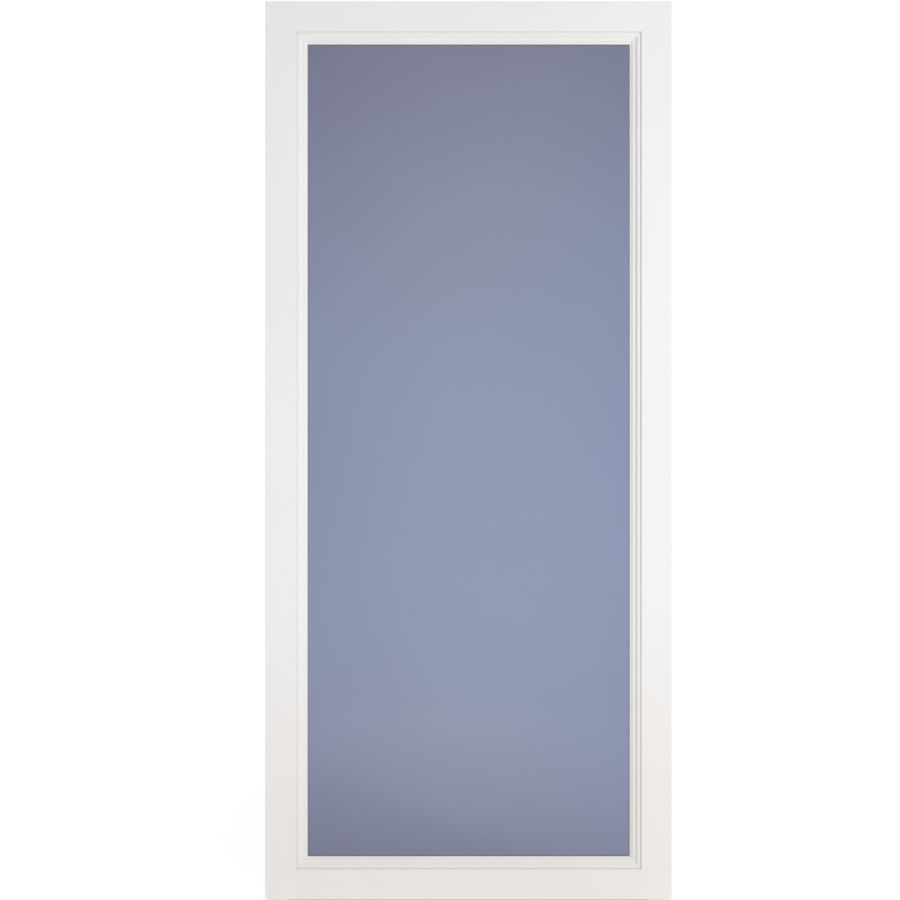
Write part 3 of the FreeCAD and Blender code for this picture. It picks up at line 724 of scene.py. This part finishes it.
# %% Hinge rivets and hinge screws
PIN_ENDING = "_pin"
PLATE = 0.002
RIVET_INSET = 0.0066
RIVET_PITCH = 0.026
LEG_SCREW_PITCH = 0.046
LEG_SCREW_INSET = 0.009
hinge_pins = [name for name in sorted(nodes) if name.startswith("hinge_") and name.endswith(PIN_ENDING)]
hinges = [name.removesuffix(PIN_ENDING) for name in hinge_pins]


def rivet_places(hinge):
    low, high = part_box(f"{hinge}_frame_plate")
    middle = (low.z + high.z) / 2
    return [(high.x - RIVET_INSET, flange_face - PLATE, middle + step * RIVET_PITCH) for step in (-1, 0, 1)]


def leg_screw_places(hinge):
    low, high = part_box(f"{hinge}_door_plate")
    middle = (low.z + high.z) / 2
    depth = high.y - LEG_SCREW_INSET
    return [(high.x - PLATE, depth, middle + side * LEG_SCREW_PITCH / 2) for side in (-1, 1)]


hinge_rivets = run_tree(
    "hinge_rivets", rivet_tree, [place for hinge in hinges for place in rivet_places(hinge)], [],
    Head_Radius=0.0032, Head_Height=0.0012, Dimple_Radius=0.0011, Dimple_Depth=0.0006,
    Facing=TOWARDS_OUTDOORS, Finish=bright_steel,
)
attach(hinge_rivets, "mounting_frame")
hinge_screws = run_tree(
    "hinge_screws", screw_tree, [place for hinge in hinges for place in leg_screw_places(hinge)], [],
    Head_Radius=0.0038, Head_Height=0.0004, Cross_Width=0.0009, Cross_Depth=0.0003,
    Facing=TOWARDS_HINGES, Finish=bright_steel,
)
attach(hinge_screws, "door_leaf")

# %% [markdown]
# The expander slides on the bottom rail until its sweep nearly meets the sill, and a row of screws
# through its indoor leg then holds it there.

# %% Expander screws
EXPANDER_SCREWS = 4
EXPANDER_SCREW_END = 0.09
EXPANDER_SCREW_DROP = 0.006
expander_low, expander_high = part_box("bottom_expander")
screw_run = expander_high.x - expander_low.x - 2 * EXPANDER_SCREW_END
expander_holes = [
    (
        expander_low.x + EXPANDER_SCREW_END + step * screw_run / (EXPANDER_SCREWS - 1),
        expander_high.y,
        expander_high.z - EXPANDER_SCREW_DROP,
    )
    for step in range(EXPANDER_SCREWS)
]
expander_screws = run_tree(
    "expander_screws", screw_tree, expander_holes, [],
    Head_Radius=0.0038, Head_Height=0.0018, Cross_Width=0.001, Cross_Depth=0.001,
    Facing=TOWARDS_INDOORS, Finish=bright_steel,
)
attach(expander_screws, "door_leaf")

# %% [markdown]
# The weatherstrips are woven pile: a flat backing in the hooked kerf of each stop, with short stiff
# fibres that just miss the shut leaf. Two strips stand upright and one lies level over the doorway, and
# they meet in mitres as the frame does. So every line along a strip ends where the frame's mitre cuts it.

# %% Lines and bars along the weatherstrips
STRIPS = (("hinge_weatherstrip", True), ("latch_weatherstrip", True), ("head_weatherstrip", False))
BAR_FACES = ((0, 1, 2, 3), (7, 6, 5, 4), (0, 4, 5, 1), (1, 5, 6, 2), (2, 6, 7, 3), (3, 7, 4, 0))


def strip_ends(upright, across, depth):
    """Both ends of a line along a strip, which stops at the sill or at the mitres of the frame's head."""
    if upright:
        inward = min(across - frame_left, frame_right - across)
        return (across, depth, frame_bottom), (across, depth, frame_top - inward)
    inward = frame_top - across
    return (frame_left + inward, depth, across), (frame_right - inward, depth, across)


def strip_sides(name, upright, inset):
    """Both long sides of a strip, moved inwards by an inset."""
    low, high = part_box(name)
    sides = (low.x, high.x) if upright else (low.z, high.z)
    return sides[0] + inset, sides[1] - inset


def mitred_bar(upright, sides, depths):
    """Corners of a bar along a strip, those of its first end before those of its last."""
    profile = ((sides[0], depths[0]), (sides[1], depths[0]), (sides[1], depths[1]), (sides[0], depths[1]))
    ends = [strip_ends(upright, across, depth) for across, depth in profile]
    return [first for first, last in ends] + [last for first, last in ends]


print("strips", [name for name, upright in STRIPS])

# %% [markdown]
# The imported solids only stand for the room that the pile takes, so they are replaced. The backing is
# three mitred bars, each with a ridge that closes the view between the tufts.

# %% Weatherstrip backing
BACKING = 0.0014
RIDGE_INSET = 0.0022
RIDGE_SHORT = 0.0016
strip_low, strip_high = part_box("hinge_weatherstrip")
pile_root = strip_high.y - BACKING
ridge_tip = strip_low.y + RIDGE_SHORT
bar_sections = ((0.0, (pile_root, strip_high.y)), (RIDGE_INSET, (ridge_tip, pile_root)))
corners = []
faces = []
for name, upright in STRIPS:
    for inset, depths in bar_sections:
        faces += [tuple(len(corners) + corner for corner in face) for face in BAR_FACES]
        corners += mitred_bar(upright, strip_sides(name, upright, inset), depths)
backing_mesh = bpy.data.meshes.new("weatherstrip_backing")
backing_mesh.from_pydata(corners, [], faces)
shell = bmesh.new()
shell.from_mesh(backing_mesh)
bmesh.ops.recalc_face_normals(shell, faces=shell.faces)
shell.to_mesh(backing_mesh)
shell.free()
backing_mesh.materials.append(pile_backing)
weatherstrip_backing = bpy.data.objects.new("weatherstrip_backing", backing_mesh)
bpy.context.scene.collection.objects.link(weatherstrip_backing)
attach(weatherstrip_backing, "mounting_frame")
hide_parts(*(name for name, upright in STRIPS))
print("backing bars", len(bar_sections) * len(STRIPS))

# %% [markdown]
# The fibres are tufts of yarn in rows along the backing. Single hairs would be far too many, so a
# geometry tree sets tufts along edges, each leaning and turned a little its own way and a little longer
# or shorter than its neighbours. A tuft has few faces, because there are thousands.

# %% Pile tufts
PILE_SEED = 11
PILE_LEAN = 0.1
PILE_ROWS = 4
PILE_INSET = 0.0011
TUFT_PITCH = 0.0015
TUFT_RADIUS = 0.0007
TUFT_SIDES = 4
TUFT_TIP_SHARE = 0.4
TUFT_SHORTEST = 0.86


def make_pile_tree():
    tree, given, result = new_tree("pile tufts", ("Pitch", "Tuft Radius", "Tuft Length"))
    lines = add(tree, "GeometryNodeMeshToCurve")
    feed(tree, lines.inputs["Mesh"], given["Geometry"])
    along = add(tree, "GeometryNodeCurveToPoints", mode="LENGTH")
    feed(tree, along.inputs["Curve"], lines.outputs["Curve"])
    feed(tree, along.inputs["Length"], given["Pitch"])
    tuft = add(tree, "GeometryNodeMeshCone")
    feed(tree, tuft.inputs["Vertices"], TUFT_SIDES)
    feed(tree, tuft.inputs["Radius Top"], calculate(tree, "MULTIPLY", given["Tuft Radius"], TUFT_TIP_SHARE))
    feed(tree, tuft.inputs["Radius Bottom"], given["Tuft Radius"])
    feed(tree, tuft.inputs["Depth"], given["Tuft Length"])
    lean = random_vector(tree, (-PILE_LEAN, -PILE_LEAN, 0.0), (PILE_LEAN, PILE_LEAN, math.pi), PILE_SEED)
    uneven = random_vector(tree, (1.0, 1.0, TUFT_SHORTEST), (1.0, 1.0, 1.0), PILE_SEED + 1)
    spread(tree, given, along.outputs["Points"], tuft.outputs["Mesh"], lean, result, uneven)
    return tree


pile_ends = []
for name, upright in STRIPS:
    first, last = strip_sides(name, upright, PILE_INSET + TUFT_RADIUS)
    for row in range(PILE_ROWS):
        start, end = strip_ends(upright, first + row * (last - first) / (PILE_ROWS - 1), pile_root)
        step = (Vector(end) - Vector(start)).normalized() * TUFT_PITCH
        pile_ends += [Vector(start) + step, Vector(end) - step]
pile_edges = [(first, first + 1) for first in range(0, len(pile_ends), 2)]
weatherstrip_tufts = run_tree(
    "weatherstrip_tufts", make_pile_tree(), pile_ends, pile_edges,
    Pitch=TUFT_PITCH, Tuft_Radius=TUFT_RADIUS, Tuft_Length=pile_root - strip_low.y,
    Facing=TOWARDS_OUTDOORS, Finish=pile_fibre,
)
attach(weatherstrip_tufts, "mounting_frame")

# %% [markdown]
# The photograph has a plain white surround, so the studio is a bright world with a floor that reads as
# white too. The world is dimmer in front of the door than behind it, so that the white leaf stays a shade
# darker than the background, and in front it is brightest above and at the right.

# %% Studio: world
BACK_LEVEL = 1.07
FRONT_LEVEL = 0.575
LIFT_ABOVE = 0.18
LIFT_RIGHT = 0.08
BACK_START = 0.15
BACK_END = 0.85
WHITE = (1, 1, 1, 1)


def blend(tree, share, first, second):
    """A share of the second value over the first."""
    return calculate(tree, "MULTIPLY_ADD", share, calculate(tree, "SUBTRACT", second, first), first)


def studio_level(tree, direction):
    """How bright the world is in a direction."""
    spot = split(tree, direction)
    from_above = calculate(tree, "MULTIPLY", spot["Z"], LIFT_ABOVE)
    from_right = calculate(tree, "MULTIPLY", spot["X"], LIFT_RIGHT)
    front = calculate(tree, "ADD", calculate(tree, "ADD", from_above, from_right), FRONT_LEVEL)
    behind = remap(tree, spot["Y"], BACK_START, BACK_END, 0.0, 1.0, smooth=True)
    return blend(tree, behind, front, BACK_LEVEL)


def make_world():
    world = bpy.data.worlds.new("studio")
    world.use_nodes = True
    tree = world.node_tree
    tree.nodes.clear()
    background = add(tree, "ShaderNodeBackground")
    direction = add(tree, "ShaderNodeTexCoord").outputs["Generated"]
    feed(tree, background.inputs["Color"], WHITE)
    feed(tree, background.inputs["Strength"], studio_level(tree, direction))
    output = add(tree, "ShaderNodeOutputWorld")
    feed(tree, output.inputs["Surface"], background.outputs["Background"])
    return world


bpy.context.scene.world = make_world()
bpy.context.scene.view_settings.view_transform = "Standard"
print("world from", FRONT_LEVEL, "in front to", BACK_LEVEL, "behind")

# %% [markdown]
# A horizon would show as a line through the glass. The floor could end at a wall, but that has an edge
# too. So the floor glows a little near the door, less in front than behind, and far away it fades into
# the level of the world beyond it. The fade follows one over the distance, which is even in the picture.

# %% Studio: floor
FLOOR_GLOW_BEHIND = 0.4
FLOOR_GLOW_IN_FRONT = 0.24
GLOW_START = -0.2
GLOW_END = 0.1
FLOOR_WHOLE_TO = 15.0
FLOOR_GONE_BY = 90.0
FLOOR_SIZE = 600.0
FLOOR_DROP = 0.0004
FLOOR_DARK = (0.79, 0.79, 0.79, 1)
FLOOR_LIGHT = (0.815, 0.815, 0.815, 1)
FLOOR_SCALE = 1.5
FLOOR_ROUGHNESS = 0.9
BLACK = (0, 0, 0, 1)


def floor_paint():
    material, tree, shader, place = new_material("floor_paint")
    distance = add(tree, "ShaderNodeVectorMath", operation="LENGTH")
    feed(tree, distance.inputs[0], place)
    nearness = calculate(tree, "DIVIDE", 1.0, distance.outputs["Value"])
    gone = remap(tree, nearness, 1 / FLOOR_GONE_BY, 1 / FLOOR_WHOLE_TO, 1.0, 0.0, smooth=True)
    tone = mix_colours(tree, noise(tree, place, FLOOR_SCALE, detail=3.0, seed=8.0), FLOOR_DARK, FLOOR_LIGHT)
    feed(tree, shader["Base Color"], mix_colours(tree, gone, tone, BLACK))
    feed(tree, shader["Roughness"], FLOOR_ROUGHNESS)
    feed(tree, shader["Specular IOR Level"], 0.0)
    glow_range = (GLOW_START, GLOW_END, FLOOR_GLOW_IN_FRONT, FLOOR_GLOW_BEHIND)
    glow = remap(tree, split(tree, place)["Y"], *glow_range, smooth=True)
    direction = add(tree, "ShaderNodeVectorMath", operation="NORMALIZE")
    feed(tree, direction.inputs[0], place)
    beyond = studio_level(tree, direction.outputs["Vector"])
    feed(tree, shader["Emission Color"], WHITE)
    feed(tree, shader["Emission Strength"], blend(tree, gone, glow, beyond))
    return material


def make_floor():
    half = FLOOR_SIZE / 2
    sides = ((-half, -half), (half, -half), (half, half), (-half, half))
    mesh = bpy.data.meshes.new("floor")
    mesh.from_pydata([(x, y, -FLOOR_DROP) for x, y in sides], [], [(0, 1, 2, 3)])
    mesh.materials.append(floor_paint())
    floor = bpy.data.objects.new("floor", mesh)
    bpy.context.scene.collection.objects.link(floor)


make_floor()
print("floor", FLOOR_SIZE, "m, whole to", FLOOR_WHOLE_TO, "m")

# %% [markdown]
# A large soft light stands far to the right, so it reaches both stiles almost equally but leaves the
# steps that face left in shade. A smaller one in front falls off quickly, which is why the leaf is
# brightest near half its height. Their outlines would stand in the glass as bright squares, so neither
# light shows to the camera, in a reflection or through the pane.

# %% Studio: soft lights
KEY_PLACE = (3.6, -3.0, 2.0)
KEY_TARGET = (0.6, 0.0, 1.2)
KEY_SIZE = 0.9
KEY_WATTS = 14.4
KEY_SPREAD = 80
FRONT_PLACE = (0.2, -2.1, 0.8)
FRONT_TARGET = (0.2, 0.0, 0.8)
FRONT_SIZE = 0.8
FRONT_WATTS = 3.8
OPEN_SPREAD = 180


def soft_light(name, place, target, size, watts, spread_degrees):
    """A square area light that faces a target; a spread below 180 degrees acts like a grid on it."""
    data = bpy.data.lights.new(name, "AREA")
    data.shape = "SQUARE"
    data.size = size
    data.energy = watts
    data.spread = math.radians(spread_degrees)
    light = bpy.data.objects.new(name, data)
    light.location = place
    light.rotation_euler = (Vector(target) - Vector(place)).to_track_quat("-Z", "Y").to_euler()
    light.visible_camera = False
    light.visible_glossy = False
    light.visible_transmission = False
    bpy.context.scene.collection.objects.link(light)
    print(name, watts, "W")


soft_light("key_softbox", KEY_PLACE, KEY_TARGET, KEY_SIZE, KEY_WATTS, KEY_SPREAD)
soft_light("front_softbox", FRONT_PLACE, FRONT_TARGET, FRONT_SIZE, FRONT_WATTS, OPEN_SPREAD)

# %% [markdown]
# The camera looks straight at the door from outdoors. The leaf's edges in the photograph give the scale:
# metres for each pixel. The leaf stands a little right of the picture's middle there, so the lens is
# shifted by that much and the camera itself stays in front of the leaf's middle.

# %% Camera
PICTURE = 900
LEAF_LEFT_PIXEL = 265.2
LEAF_RIGHT_PIXEL = 672.0
LEAF_BOTTOM_PIXEL = 899.9
CAMERA_DISTANCE = 2.6
metres_a_pixel = (leaf_right - leaf_left) / (LEAF_RIGHT_PIXEL - LEAF_LEFT_PIXEL)
camera_data = bpy.data.cameras.new("camera")
camera_data.lens = camera_data.sensor_width * CAMERA_DISTANCE / (PICTURE * metres_a_pixel)
camera_data.shift_x = 0.5 - (LEAF_LEFT_PIXEL + LEAF_RIGHT_PIXEL) / 2 / PICTURE
camera = bpy.data.objects.new("camera", camera_data)
camera.location = (
    (leaf_left + leaf_right) / 2,
    leaf_face - CAMERA_DISTANCE,
    leaf_bottom + (LEAF_BOTTOM_PIXEL - PICTURE / 2) * metres_a_pixel,
)
camera.rotation_euler = (math.pi / 2, 0, 0)
bpy.context.scene.collection.objects.link(camera)
bpy.context.scene.camera = camera
millimetres_a_pixel = metres_a_pixel * MILLIMETRES_A_METRE
print("millimetres a pixel", round(millimetres_a_pixel, 4), "lens", round(camera_data.lens, 2))
